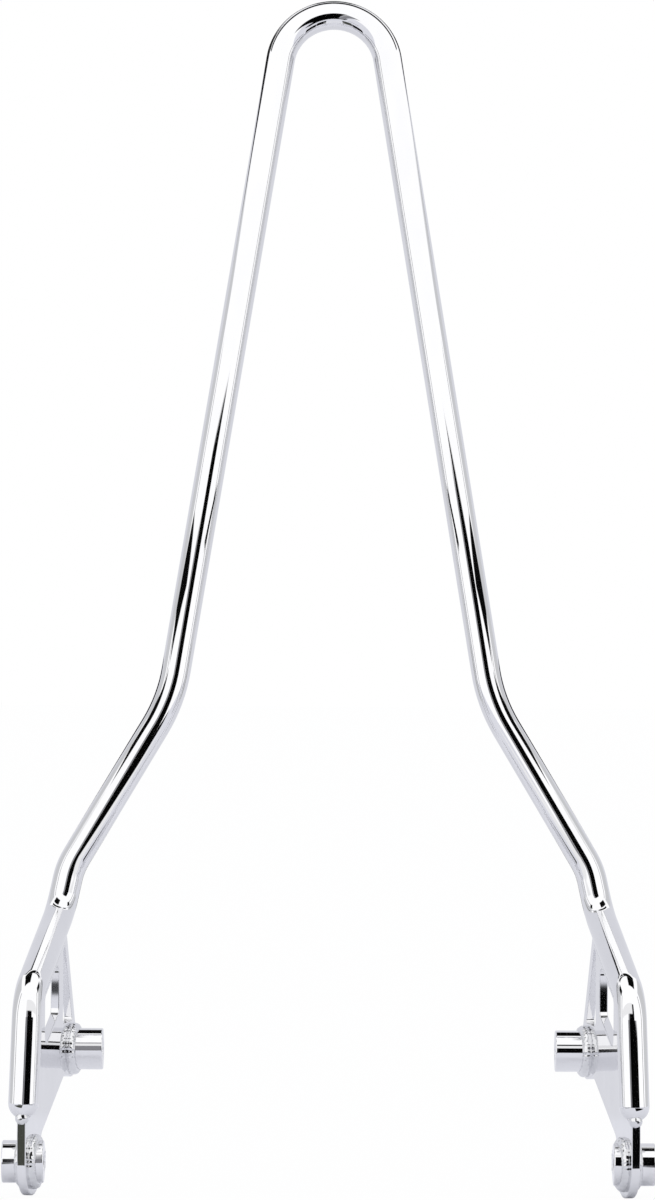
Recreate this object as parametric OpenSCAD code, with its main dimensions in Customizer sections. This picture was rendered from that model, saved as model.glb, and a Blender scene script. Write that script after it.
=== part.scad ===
// Sissy bar: a hoop of bent round bar on two side plates with bolt bushings.
// Millimetres. +Z is up, +Y is rearwards, and the origin is midway between the two lower bushings.

/* [Round bar] */
// Diameter of the bar
bar_d = 15.9; // [12:0.1:19]

/* [Hoop] */
// Backward lean of the hoop, in degrees from upright
hoop_lean = 12; // [6:0.5:16]
// Centre-line radius of the loop at the top
loop_r = 30; // [24:0.5:40]
// Height of the loop's centre
loop_z = 590; // [450:5:750]
// Height of the kink from which the legs spread
kink_z = 239.4; // [215:0.2:270]
// Half width of the hoop at the kink
kink_x = 86.4; // [76:0.2:96]
// Bend radius at the kink
kink_bend = 90; // [50:5:110]
// Height of the ankle, where the legs turn down again
ankle_z = 150; // [147:0.5:158]
// Half width of the hoop at the ankle
ankle_x = 139.4; // [136:0.2:142]
// Bend radius at the ankle
ankle_bend = 40; // [25:1:45]

/* [Side frames] */
// Half distance between the two side plates at the lower bolts
side_half = 156.4; // [150:0.2:170]
// Angle by which the side frames close in towards the rear, in degrees
side_splay = 10.3; // [6:0.1:12]
// Distance of the heel bend behind the lower bolt, along the plate
heel_s = 68.1; // [64:0.1:72]
// Height of the heel bend, where the bar turns forward
heel_z = 126.9; // [122:0.1:129]
// Bend radius at the heel
heel_bend = 22; // [19:0.5:24]
// Distance of the toe bend behind the lower bolt, along the plate
toe_s = -5.9; // [-9:0.1:-3]
// Height of the toe bend, where the bar turns down
toe_z = 93.7; // [88:0.1:98]
// Bend radius at the toe
toe_bend = 25; // [20:0.5:30]
// Distance of the bar's lower end behind the front edge of the plate
end_set_back = 4.6; // [3:0.1:5.5]
// Height of the centre of the bar's rounded lower end
end_z = 31.5; // [28:0.1:36]

/* [Side plates] */
// Thickness of a side plate
plate_t = 4.8; // [3:0.1:8]
// Distance of the upper bolt behind the lower bolt, along the plate
upper_s = 86.4; // [82:0.1:90]
// Height of the upper bolt above the lower bolt
upper_z = 51.4; // [46:0.1:56]
// Radius of the rounded lug at the lower bolt
lower_lug_r = 17.5; // [16:0.1:20]
// Radius of the rounded lug at the upper bolt
upper_lug_r = 15; // [14.5:0.1:18]
// Height of the lower edge above the lower bolt's centre
edge_above_lower = 3.8; // [0:0.1:6]
// Depth of the lower edge below the upper bolt's centre
edge_below_upper = 3.7; // [0:0.1:6]
// Distance of the rear edge behind the upper bolt's centre
rear_edge_out = 12.3; // [8:0.1:13]
// Radius of the fillets where the edges run into the lugs
lug_fillet = 7; // [3:0.5:10]
// Gap between the plate's edge and the bar, which the welds close
root_gap = 0.3; // [0.2:0.05:0.5]

/* [Windows in the side plates] */
// Width of the rim between the windows and the bar
window_rim = 9; // [7:0.1:12]
// Height of the solid field below the front window
window_field = 40.7; // [38:0.1:46]
// Distance of the front window's front side behind the lower bolt, along the plate
window_front_s = 24.5; // [16:0.5:34]
// Distance of the front window's rear side behind the lower bolt, along the plate
window_rear_s = 56.4; // [48:0.1:58]
// Corner radius of the windows
window_corner = 4; // [2:0.5:6]
// Width of the post between the two windows
post_w = 9; // [7:0.1:12]
// Width of the strip between the rear window and the rear edge
rear_strip = 5; // [4:0.1:8]
// Height of the rear window's lower side above the upper bolt's centre
rear_window_up = 15.1; // [14.5:0.1:20]

/* [Bushings] */
// Outer diameter of the bushings
bushing_d = 22.2; // [20:0.1:24]
// Diameter of the bolt holes
bore_d = 10.5; // [8:0.1:13]
// Chamfer on the bushings' outer edges
bushing_chamfer = 0.8; // [0.3:0.1:1.5]
// Chamfer at the mouths of the bolt holes
bore_chamfer = 0.5; // [0.2:0.1:1]
// Reach of the upper bushings inward from the middle of the plate
upper_reach_in = 19.2; // [12:0.1:24]
// Reach of the upper bushings outward from the middle of the plate
upper_reach_out = 5.8; // [5:0.1:10]
// Reach of the lower bushings inward from the middle of the plate
lower_reach_in = 7.8; // [7:0.1:12]
// Reach of the lower bushings outward from the middle of the plate
lower_reach_out = 14; // [9:0.1:20]

/* [Welds] */
// Width of the bead's foot on the plate, inside the upper bushings
upper_bead_w = 2.6; // [1.5:0.1:3.2]
// Height of the bead along the upper bushings, inside
upper_bead_h = 4.3; // [2:0.1:6]
// Width and height of the small beads on the outer side of the upper bushings
outer_bead_size = 2.2; // [1.2:0.1:2.6]
// Width of the bead's foot on the plate, inside the lower bushings
lower_bead_w = 3.2; // [1.5:0.1:4]
// Height of the bead along the lower bushings, inside
lower_bead_h = 3.6; // [2:0.1:4]
// Width and height of the beads on the outer side of the lower bushings
lower_outer_bead = 2.8; // [1.5:0.1:4]
// Radius of the beads that run along the bar
seam_r = 2.8; // [2:0.1:4]
// Distance of the seam beads' rear ends from the heel bend's corner
seam_rear_gap = 14; // [12:0.5:24]
// Distance of the seam beads' lower ends from the centre of the bar's rounded end
seam_low_gap = 2; // [0:0.5:10]
// Radius of the weld under the bar's rounded end
end_weld_r = 3.6; // [3:0.1:4.5]
// Distance of this weld's centre behind the plate's front edge
end_weld_in = 1.4; // [0.5:0.1:2]
// Height of this weld's centre above the lowest point of the bar
end_weld_up = 0.7; // [0:0.1:1.5]

/* [Hidden] */
$fn = 96;
bar_r = bar_d / 2;
bushing_r = bushing_d / 2;
bore_r = bore_d / 2;
end_s = end_set_back - lower_lug_r;
// Distance of a seam bead's centre from the bar's centre line, along the plate
seam_off = sqrt(bar_r * bar_r - plate_t * plate_t / 4) + seam_r * 0.3;
// The hairline at the end of each bend, where a core joins it to the straight beside it
hair = 0.01;
// Radius of such a core as a share of the rod's, and how far it reaches to each side
core_share = 0.8;
core_reach = 1;
// Step between the points of a computed arc, in degrees
arc_step = 7.5;

// Vectors
function unit(v) = v / norm(v);
function angle_between(u, v) = acos(max(-1, min(1, unit(u) * unit(v))));
function bend_angle(a, b, c) = angle_between(b - a, c - b);
function tangent_length(a, b, c, r) = r * tan(bend_angle(a, b, c) / 2);
// Columns of a frame with its X axis along x, its Y axis along y, and its origin at o
function frame(x, y, o) =
    let (z = cross(x, y))
    [[x[0], y[0], z[0], o[0]], [x[1], y[1], z[1], o[1]], [x[2], y[2], z[2], o[2]], [0, 0, 0, 1]];

// Where two lines cross, each given by a point and a direction, in the plane
function crossing(p, u, q, v) = p + u * cross([q[0] - p[0], q[1] - p[1]], v) / cross(u, v);
// A unit vector to the left of v, in the plane
function left_of(v) = unit([-v[1], v[0]]);

// The bar's centre line. side_point takes a place on the side frame, s behind the lower bolt and z above it.
function side_point(s, z, out = 0) = [
    side_half - s * sin(side_splay) + out * cos(side_splay),
    s * cos(side_splay) + out * sin(side_splay),
    z
];
heel = side_point(heel_s, heel_z);
toe = side_point(toe_s, toe_z);
bar_end = side_point(end_s, end_z);
function hoop_point(x, z) = [x, heel[1] + (z - heel[2]) * tan(hoop_lean), z];
ankle = hoop_point(ankle_x, ankle_z);
kink = hoop_point(kink_x, kink_z);
loop_centre = hoop_point(0, loop_z);
// Angle of the legs to the middle line, measured in the plane of the hoop
leg_rise = (loop_z - kink_z) / cos(hoop_lean);
leg_angle = acos(loop_r / norm([kink_x, leg_rise])) - atan2(leg_rise, kink_x);
leg_top = loop_centre + [
    loop_r * cos(leg_angle),
    loop_r * sin(leg_angle) * sin(hoop_lean),
    loop_r * sin(leg_angle) * cos(hoop_lean)
];

// A straight piece of round bar from a to b
module straight(a, b, r) {
    d = b - a;
    translate(a)
        rotate([0, acos(d[2] / norm(d)), atan2(d[1], d[0])])
            cylinder(r = r, h = norm(d));
}

// The bend at corner b of the line a, b, c, a hairline short at both ends
module bend(a, b, c, bend_r, r) {
    u = unit(b - a);
    v = unit(c - b);
    start = b - u * tangent_length(a, b, c, bend_r);
    inward = unit(v - u * (u * v));
    trim = hair / bend_r * 180 / PI;
    multmatrix(frame(-inward, u, start + inward * bend_r))
        rotate([0, 0, trim])
            rotate_extrude(angle = bend_angle(a, b, c) - 2 * trim)
                translate([bend_r, 0])
                    circle(r);
}

// The core that joins a bend to a straight at p, along d
module core(p, d, r) {
    straight(p - d * core_reach, p + d * core_reach, r * core_share);
}

// A rod along a line of corners, each inner one bent to its own radius
module bent_rod(corners, bends, r) {
    last = len(corners) - 1;
    function cut(i) = i == 0 || i == last ? 0
        : tangent_length(corners[i - 1], corners[i], corners[i + 1], bends[i]);
    for (i = [1:last]) {
        u = unit(corners[i] - corners[i - 1]);
        from = corners[i - 1] + u * cut(i - 1);
        to = corners[i] - u * cut(i);
        straight(from, to, r);
        if (i > 1) core(from, u, r);
        if (i < last) core(to, u, r);
    }
    for (i = [1:last - 1])
        bend(corners[i - 1], corners[i], corners[i + 1], bends[i], r);
}

// The half of the bar below the loop, down to its rounded lower end
module bar_leg() {
    along = unit(bar_end - toe);
    bent_rod([leg_top, kink, ankle, heel, toe, bar_end], [0, kink_bend, ankle_bend, heel_bend, toe_bend, 0], bar_r);
    core(leg_top, unit(kink - leg_top), bar_r);
    core(bar_end, along, bar_r);
    translate(bar_end + along * hair)
        rotate([0, acos(along[2]), atan2(along[1], along[0])])
            half_ball(bar_r);
}

module half_ball(r) {
    rotate_extrude()
        intersection() {
            circle(r);
            square(r);
        }
}

module loop() {
    trim = hair / loop_r * 180 / PI;
    translate(loop_centre)
        rotate([90 - hoop_lean, 0, 0])
            rotate([0, 0, leg_angle + trim])
                rotate_extrude(angle = 180 - 2 * leg_angle - 2 * trim)
                    translate([loop_r, 0])
                        circle(bar_r);
}

module hoop_bar() {
    color("silver") {
        loop();
        bar_leg();
        mirror([1, 0, 0]) bar_leg();
    }
}

// Draws its children for the right side, or mirrored for the left
module on_side(right) {
    if (right) children();
    else mirror([1, 0, 0]) children();
}

// Lays a flat drawing into the right side frame: its X runs rearwards along the plate and its Y runs up
module in_side_frame() {
    translate([side_half, 0, 0])
        rotate([0, 0, side_splay])
            rotate([90, 0, 90])
                children();
}

// Flat places on the side frame
lower_bolt = [0, 0];
upper_bolt = [upper_s, upper_z];
heel_flat = [heel_s, heel_z];
toe_flat = [toe_s, toe_z];
end_flat = [end_s, end_z];
edge_start = lower_bolt + [0, edge_above_lower];
edge_finish = upper_bolt - [0, edge_below_upper];
edge_dir = unit(edge_finish - edge_start);
// The rear edge runs from the heel bend down to the line that passes rear_edge_out behind the upper bolt
rear_reach = norm(upper_bolt - heel_flat);
rear_turn = asin(rear_edge_out / rear_reach);
rear_heading = atan2(upper_z - heel_z, upper_s - heel_s) + rear_turn;
rear_dir = [cos(rear_heading), sin(rear_heading)];
rear_finish = heel_flat + rear_dir * rear_reach * cos(rear_turn);
// The bar's course in the plane of the plate, from the ankle through the heel and the toe to its end
ankle_flat = [
    ankle[1] * cos(side_splay) - (ankle[0] - side_half) * sin(side_splay),
    ankle[2]
];
to_heel = unit(heel_flat - ankle_flat);
to_toe = unit(toe_flat - heel_flat);
to_end = unit(end_flat - toe_flat);
// The centre of a bend of radius r at corner p, left of the way u and then v
function bend_centre(p, u, v, r) = p + (left_of(u) + left_of(v)) * r / (1 + left_of(u) * left_of(v));
heel_centre = bend_centre(heel_flat, to_heel, to_toe, -heel_bend);
toe_centre = bend_centre(toe_flat, to_toe, to_end, toe_bend);
// The plate keeps this far from the bar's centre line
plate_off = bar_r + root_gap;

// A flat drawing as a sheet t thick, half of it on each side of the drawing
module slab(t) {
    linear_extrude(t, center = true)
        children();
}

// The fillet between a lug and the edge through p along u, on the side of the edge to which n points
module lug_corner(lug, lug_r, p, u, n) {
    fillet = lug_fillet;
    height = (lug - p) * n;
    along = (lug - p) * u;
    run = sqrt(pow(lug_r + fillet, 2) - pow(height - fillet, 2));
    centre = p + u * (along + run) + n * fillet;
    touch_edge = centre - n * fillet;
    touch_lug = lug + unit(centre - lug) * lug_r;
    inside = lug - n * (height + fillet);
    difference() {
        polygon([centre, touch_edge, inside, lug, touch_lug]);
        translate(centre) circle(fillet + hair);
    }
}

// The direction of v, in degrees
function heading(v) = atan2(v[1], v[0]);
// The lesser turn from angle a to angle b
function turn_between(a, b) = (b - a + 540) % 360 - 180;
// Points on the arc round a centre from direction u to direction v
function arc_points(centre, r, u, v) =
    let (
        sweep = turn_between(heading(u), heading(v)),
        steps = ceil(abs(sweep) / arc_step)
    )
    [for (i = [0:steps]) centre + turned(unit(u), sweep * i / steps) * r];
function turned(v, angle) = [v[0] * cos(angle) - v[1] * sin(angle), v[0] * sin(angle) + v[1] * cos(angle)];

// Where the line from p along unit vector d leaves a circle that p is inside
function leaving(p, d, centre, r) =
    let (w = p - centre, k = w * d)
    p + d * (sqrt(k * k - w * w + r * r) - k);

// The web between the lugs, which follows the underside of the bar from the heel to its lower end
module web() {
    heel_leave = leaving(heel_flat, rear_dir, heel_centre, heel_bend + plate_off);
    front_leave = leaving([-lower_lug_r, end_z], [0, -1], end_flat, plate_off);
    polygon(concat(
        [[-lower_lug_r, 0], edge_start, edge_finish, upper_bolt, rear_finish],
        arc_points(heel_centre, heel_bend + plate_off, heel_leave - heel_centre, left_of(to_toe)),
        arc_points(toe_centre, toe_bend - plate_off, -left_of(to_toe), -left_of(to_end)),
        arc_points(end_flat, plate_off, left_of(to_end), front_leave - end_flat)
    ));
}

module plate_blank() {
    below = -left_of(edge_dir);
    slab(plate_t) web();
    slab(plate_t) translate(lower_bolt) circle(lower_lug_r);
    slab(plate_t) translate(upper_bolt) circle(upper_lug_r);
    slab(plate_t) lug_corner(lower_bolt, lower_lug_r, edge_start, edge_dir, below);
    slab(plate_t) lug_corner(upper_bolt, upper_lug_r, edge_start, -edge_dir, below);
    slab(plate_t) lug_corner(upper_bolt, upper_lug_r, heel_flat, -rear_dir, left_of(rear_dir));
}

// A polygon whose corners, given as [x, y, radius], are rounded by computed arcs
function rounded_corner(a, b, c) =
    let (
        p = [b[0], b[1]],
        u = unit([a[0], a[1]] - p),
        v = unit([c[0], c[1]] - p),
        half = angle_between(u, v) / 2,
        room = min(norm([a[0], a[1]] - p), norm([c[0], c[1]] - p)) * 0.45,
        r = min(b[2], room * tan(half)),
        centre = p + unit(u + v) * r / sin(half),
        from = p + u * r / tan(half) - centre,
        sweep = (180 - 2 * half) * sign(cross(-u, v)),
        steps = ceil(abs(sweep) / arc_step)
    )
    [for (i = [0:steps]) centre + turned(from, sweep * i / steps)];
function rounded(corners) = [
    for (i = [0:len(corners) - 1])
        each rounded_corner(corners[(i + len(corners) - 1) % len(corners)], corners[i], corners[(i + 1) % len(corners)])
];

module front_window() {
    run_dir = unit(heel_flat - toe_flat);
    run_line = toe_flat - left_of(run_dir) * (bar_r + window_rim);
    floor_line = edge_start + [0, window_field];
    front_line = [window_front_s, 0];
    rear_line = [window_rear_s, 0];
    corners = [
        crossing(floor_line, edge_dir, front_line, [0, 1]),
        crossing(floor_line, edge_dir, rear_line, [0, 1]),
        crossing(run_line, run_dir, rear_line, [0, 1]),
        crossing(run_line, run_dir, front_line, [0, 1])
    ];
    polygon(rounded([for (p = corners) [p[0], p[1], window_corner]]));
}

module rear_window() {
    run_dir = unit(heel_flat - toe_flat);
    run_line = toe_flat - left_of(run_dir) * (bar_r + window_rim);
    front_s = window_rear_s + post_w;
    strip_line = heel_flat - left_of(rear_dir) * rear_strip;
    floor_line = upper_bolt + [0, rear_window_up];
    corners = [
        crossing(floor_line, [1, 0], [front_s, 0], [0, 1]),
        crossing(floor_line, [1, 0], strip_line, rear_dir),
        crossing(run_line, run_dir, strip_line, rear_dir),
        crossing(run_line, run_dir, [front_s, 0], [0, 1])
    ];
    polygon(rounded([for (p = corners) [p[0], p[1], window_corner / 2]]));
}

module plate_solid() {
    in_side_frame()
        difference() {
            plate_blank();
            slab(2 * plate_t) front_window();
            slab(2 * plate_t) rear_window();
        }
}

module side_plate(right) {
    color("lightsteelblue")
        on_side(right)
            difference() {
                plate_solid();
                bushing_body(upper_bolt, upper_reach_in, upper_reach_out);
                bushing_body(lower_bolt, lower_reach_in, lower_reach_out);
            }
}

// A bushing without its bore, on an axis square to the machine's middle plane
module bushing_body(bolt, reach_in, reach_out) {
    c = bushing_chamfer;
    translate(side_point(bolt[0], bolt[1]) - [reach_in, 0, 0])
        rotate([0, 90, 0])
            rotate_extrude()
                polygon([
                    [0, 0], [bushing_r - c, 0], [bushing_r, c],
                    [bushing_r, reach_in + reach_out - c], [bushing_r - c, reach_in + reach_out],
                    [0, reach_in + reach_out]
                ]);
}

module bushing(bolt, reach_in, reach_out, right) {
    long = reach_in + reach_out;
    color("gainsboro")
        on_side(right)
            difference() {
                bushing_body(bolt, reach_in, reach_out);
                translate(side_point(bolt[0], bolt[1]) - [reach_in, 0, 0])
                    rotate([0, 90, 0]) {
                        translate([0, 0, -1]) cylinder(r = bore_r, h = long + 2);
                        cylinder(r1 = bore_r + bore_chamfer, r2 = bore_r, h = bore_chamfer);
                        translate([0, 0, long - bore_chamfer])
                            cylinder(r1 = bore_r, r2 = bore_r + bore_chamfer, h = bore_chamfer);
                    }
            }
}

// A ring of weld round a bushing, on the inner or outer face of the plate. Its foot is w wide, and it climbs h.
module ring_bead(bolt, w, h, inner) {
    facing = inner ? -1 : 1;
    half_chord = norm([w, h]) / 2;
    r = half_chord * 1.25;
    back = sqrt(r * r - half_chord * half_chord);
    toe_mid = [w, h] / 2 - [h, w] / (2 * half_chord) * back;
    // The bushing leans in the plate, so it meets the faces beside the bolt's place in the middle plane
    shift = plate_t / 2 * tan(side_splay);
    in_side_frame()
        translate([bolt[0] - facing * shift, bolt[1], facing * plate_t / 2])
            mirror([0, 0, inner ? 1 : 0])
                rotate_extrude()
                    translate([bushing_r + toe_mid[0], toe_mid[1]])
                        circle(r);
}

module bead(bolt, reach_in, reach_out, w, h, inner, right) {
    color("white")
        on_side(right)
            difference() {
                ring_bead(bolt, w, h, inner);
                in_side_frame()
                    translate([bolt[0], bolt[1], 0])
                        cube([4 * bushing_r, 4 * bushing_r, plate_t], center = true);
                bushing_body(bolt, reach_in, reach_out);
            }
}

// Section of a seam bead. X runs from the bar's centre line into the plate and Y out of the plate.
module seam_section() {
    difference() {
        translate([seam_off, plate_t / 2]) circle(seam_r);
        circle(bar_r);
        translate([0, plate_t / 2 - 2 * seam_r]) square([2 * seam_off, 2 * seam_r]);
    }
}

// The rounded end of a seam bead, with the same section and a core that joins it to the bead
module seam_end() {
    translate([0, 0, hair])
        difference() {
            translate([seam_off, plate_t / 2, 0]) sphere(seam_r);
            translate([0, 0, -2 * seam_r]) cylinder(r = bar_r, h = 4 * seam_r);
            translate([0, plate_t / 2 - 2 * seam_r, -2 * seam_r]) cube([2 * seam_off, 2 * seam_r, 4 * seam_r]);
            translate([0, 0, -2 * seam_r]) cube([2 * seam_off, 4 * seam_r, 2 * seam_r]);
        }
    seam_core();
}

module seam_core() {
    translate([seam_off + seam_r * 0.2, plate_t / 2 + seam_r * 0.4, -core_reach])
        cylinder(r = seam_r * 0.25, h = 2 * core_reach);
}

// Stands its children at flat place p with Z along the direction of travel, X to the left of it and Y out of the plate
module across(p, travel) {
    translate([p[0], p[1], 0])
        rotate([0, 0, heading(travel)])
            rotate([90, 0, 90])
                children();
}

// A bead along the corner between the bar and a face of the plate, round the inside of the toe bend
module seam(inner, right) {
    turn = turn_between(heading(to_toe), heading(to_end));
    reach = toe_bend * tan(turn / 2);
    trim = hair / toe_bend * 180 / PI;
    rear = heel_flat + to_toe * seam_rear_gap;
    low = end_flat - to_end * seam_low_gap;
    bend_start = toe_flat - to_toe * reach;
    bend_finish = toe_flat + to_end * reach;
    color("white")
        on_side(right)
            in_side_frame()
                mirror([0, 0, inner ? 1 : 0]) {
                    across(rear, to_toe) linear_extrude(norm(bend_start - rear)) seam_section();
                    across(bend_finish, to_end) linear_extrude(norm(low - bend_finish)) seam_section();
                    translate([toe_centre[0], toe_centre[1], 0])
                        rotate([0, 0, heading(-left_of(to_toe)) + trim])
                            rotate_extrude(angle = turn - 2 * trim)
                                translate([toe_bend, 0])
                                    mirror([1, 0])
                                        seam_section();
                    across(bend_start, to_toe) seam_core();
                    across(bend_finish, to_end) seam_core();
                    across(rear, -to_toe) mirror([1, 0, 0]) seam_end();
                    across(low, to_end) seam_end();
                }
}

// The weld that closes the notch between the bar's rounded end and the front edge of the plate
module end_weld(right) {
    color("white")
        on_side(right)
            difference() {
                translate(side_point(-lower_lug_r + end_weld_in, end_z - bar_r + end_weld_up))
                    sphere(end_weld_r);
                plate_solid();
                translate(bar_end + unit(bar_end - toe) * hair) sphere(bar_r);
            }
}

hoop_bar();
side_plate(false);  // left_side_plate
side_plate(true);  // right_side_plate
bushing(upper_bolt, upper_reach_in, upper_reach_out, false);  // left_upper_bushing
bushing(upper_bolt, upper_reach_in, upper_reach_out, true);  // right_upper_bushing
bushing(lower_bolt, lower_reach_in, lower_reach_out, false);  // left_lower_bushing
bushing(lower_bolt, lower_reach_in, lower_reach_out, true);  // right_lower_bushing
bead(upper_bolt, upper_reach_in, upper_reach_out, upper_bead_w, upper_bead_h, true, false);  // left_upper_inner_bead
bead(upper_bolt, upper_reach_in, upper_reach_out, upper_bead_w, upper_bead_h, true, true);  // right_upper_inner_bead
bead(upper_bolt, upper_reach_in, upper_reach_out, outer_bead_size, outer_bead_size, false, false);  // left_upper_outer_bead
bead(upper_bolt, upper_reach_in, upper_reach_out, outer_bead_size, outer_bead_size, false, true);  // right_upper_outer_bead
bead(lower_bolt, lower_reach_in, lower_reach_out, lower_bead_w, lower_bead_h, true, false);  // left_lower_inner_bead
bead(lower_bolt, lower_reach_in, lower_reach_out, lower_bead_w, lower_bead_h, true, true);  // right_lower_inner_bead
bead(lower_bolt, lower_reach_in, lower_reach_out, lower_outer_bead, lower_outer_bead, false, false);  // left_lower_outer_bead
bead(lower_bolt, lower_reach_in, lower_reach_out, lower_outer_bead, lower_outer_bead, false, true);  // right_lower_outer_bead
seam(true, false);  // left_inner_seam
seam(true, true);  // right_inner_seam
seam(false, false);  // left_outer_seam
seam(false, true);  // right_outer_seam
end_weld(false);  // left_end_weld
end_weld(true);  // right_end_weld
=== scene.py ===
"""Sissy bar of chrome-plated steel: its dressed pieces, a small photo studio and the camera.

Sizes are in millimetres, as in the part's source, and meshes are built in metres.
"""

from __future__ import annotations

import logging
import math
from dataclasses import dataclass, field
from enum import Enum
from typing import Any, Sequence

import bmesh
import bpy
from mathutils import Matrix, Vector, noise

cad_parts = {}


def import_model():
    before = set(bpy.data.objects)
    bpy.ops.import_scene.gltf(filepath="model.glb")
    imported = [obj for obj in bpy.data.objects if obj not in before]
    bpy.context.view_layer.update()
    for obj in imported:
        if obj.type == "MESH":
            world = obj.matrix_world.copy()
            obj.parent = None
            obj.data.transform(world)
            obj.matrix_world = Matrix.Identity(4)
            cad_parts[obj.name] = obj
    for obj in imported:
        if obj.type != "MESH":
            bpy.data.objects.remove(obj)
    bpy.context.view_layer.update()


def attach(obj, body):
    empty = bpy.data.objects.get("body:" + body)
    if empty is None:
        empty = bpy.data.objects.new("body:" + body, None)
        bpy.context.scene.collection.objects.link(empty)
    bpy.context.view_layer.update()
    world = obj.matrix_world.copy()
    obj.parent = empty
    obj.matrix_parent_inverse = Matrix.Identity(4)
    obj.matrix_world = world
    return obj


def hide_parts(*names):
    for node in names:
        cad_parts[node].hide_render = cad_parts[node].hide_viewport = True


MM = 0.001
BODY = "root"
LOG = logging.getLogger("sissy_bar")

Flat = Vector
Ring = list[tuple[Vector, Vector]]
Spot = tuple[float, float, float]
Tree = bpy.types.NodeTree
Socket = bpy.types.NodeSocket


class Side(Enum):
    """The two sides of the machine, valued by the sign of X."""

    LEFT = -1
    RIGHT = 1

    @property
    def word(self) -> str:
        """Prefix of this side's node names."""
        return self.name.lower()


class Face(Enum):
    """The two faces of a side plate, valued by the sign of their way out of it."""

    INNER = -1
    OUTER = 1

    @property
    def word(self) -> str:
        """Word for this face in the node names."""
        return self.name.lower()


def linear(hex_colour: str) -> tuple[float, float, float, float]:
    """Turns an sRGB hex colour into linear RGBA.

    Args:
        hex_colour: Six hex digits after a hash.

    Returns:
        The linear colour with an alpha of 1.
    """
    channels = [int(hex_colour[i : i + 2], 16) / 255 for i in (1, 3, 5)]
    red, green, blue = (c / 12.92 if c <= 0.04045 else ((c + 0.055) / 1.055) ** 2.4 for c in channels)
    return red, green, blue, 1.0


def add_node(
    tree: Tree,
    kind: str,
    settings: dict[str | int, Any] | None = None,
    links: dict[str | int, Socket] | None = None,
) -> bpy.types.Node:
    """Adds one node to a tree.

    Args:
        tree: The node tree.
        kind: Blender's name of the node class.
        settings: Values by property name or by input socket name or number.
        links: Output sockets by the input socket that they feed.

    Returns:
        The new node.
    """
    node = tree.nodes.new(kind)
    for key, value in (settings or {}).items():
        if isinstance(key, str) and hasattr(node, key):
            setattr(node, key, value)
        else:
            node.inputs[key].default_value = value
    for key, socket in (links or {}).items():
        tree.links.new(socket, node.inputs[key])
    return node


def new_object(name: str, data: bpy.types.ID) -> bpy.types.Object:
    """Makes an object and puts it into the scene.

    Args:
        name: The object's name.
        data: Its mesh or camera.

    Returns:
        The new object.
    """
    made = bpy.data.objects.new(name, data)
    bpy.context.scene.collection.objects.link(made)
    return made


def turned(v: Flat, degrees: float) -> Flat:
    """Returns a plane vector turned anticlockwise."""
    a = math.radians(degrees)
    return Vector((v.x * math.cos(a) - v.y * math.sin(a), v.x * math.sin(a) + v.y * math.cos(a)))


def left_of(v: Flat) -> Flat:
    """Returns the unit vector to the left of a plane vector."""
    return Vector((-v.y, v.x)).normalized()


def heading(v: Flat) -> float:
    """Returns a plane vector's direction in degrees."""
    return math.degrees(math.atan2(v.y, v.x))


def crossing(p: Flat, u: Flat, q: Flat, v: Flat) -> Flat:
    """Returns where the line from p along u crosses the line from q along v.

    Args:
        p: A point on the first line.
        u: Its direction.
        q: A point on the second line.
        v: Its direction.

    Returns:
        The point that both lines share.
    """
    cross = u.x * v.y - u.y * v.x
    gap = q - p
    return p + u * ((gap.x * v.y - gap.y * v.x) / cross)


def arc(
    centre: Flat, radius: float, start: Flat, finish: Flat, forward: bool, step: float = 4.0
) -> list[Flat]:
    """Lists the points of a plane arc.

    Args:
        centre: The arc's centre.
        radius: Its radius.
        start: Direction of the first point from the centre.
        finish: Direction of the last point from the centre.
        forward: True for an anticlockwise arc.
        step: Greatest turn between two points, in degrees.

    Returns:
        The points with both ends.
    """
    sweep = (heading(finish) - heading(start)) % 360
    if not forward:
        sweep -= 360
    count = max(1, math.ceil(abs(sweep) / step))
    first = start.normalized() * radius
    return [centre + turned(first, sweep * i / count) for i in range(count + 1)]


@dataclass(frozen=True)
class SideFrame:
    """Plane of a side plate.

    Places on it are s behind the lower bolt, z above it and out from the plate's middle.
    """

    half: float = 156.4
    splay: float = 10.3

    def point(self, s: float, z: float, out: float = 0.0) -> Vector:
        """Returns a place on the right-hand plate, in millimetres.

        Args:
            s: Distance behind the lower bolt.
            z: Height above it.
            out: Distance out from the plate's middle.

        Returns:
            The place in the part's frame.
        """
        a = math.radians(self.splay)
        return Vector(
            (self.half - s * math.sin(a) + out * math.cos(a), s * math.cos(a) + out * math.sin(a), z)
        )

    def way(self, s: float, z: float, out: float = 0.0) -> Vector:
        """Returns a direction on the right-hand plate."""
        return self.point(s, z, out) - self.point(0, 0)


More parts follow.
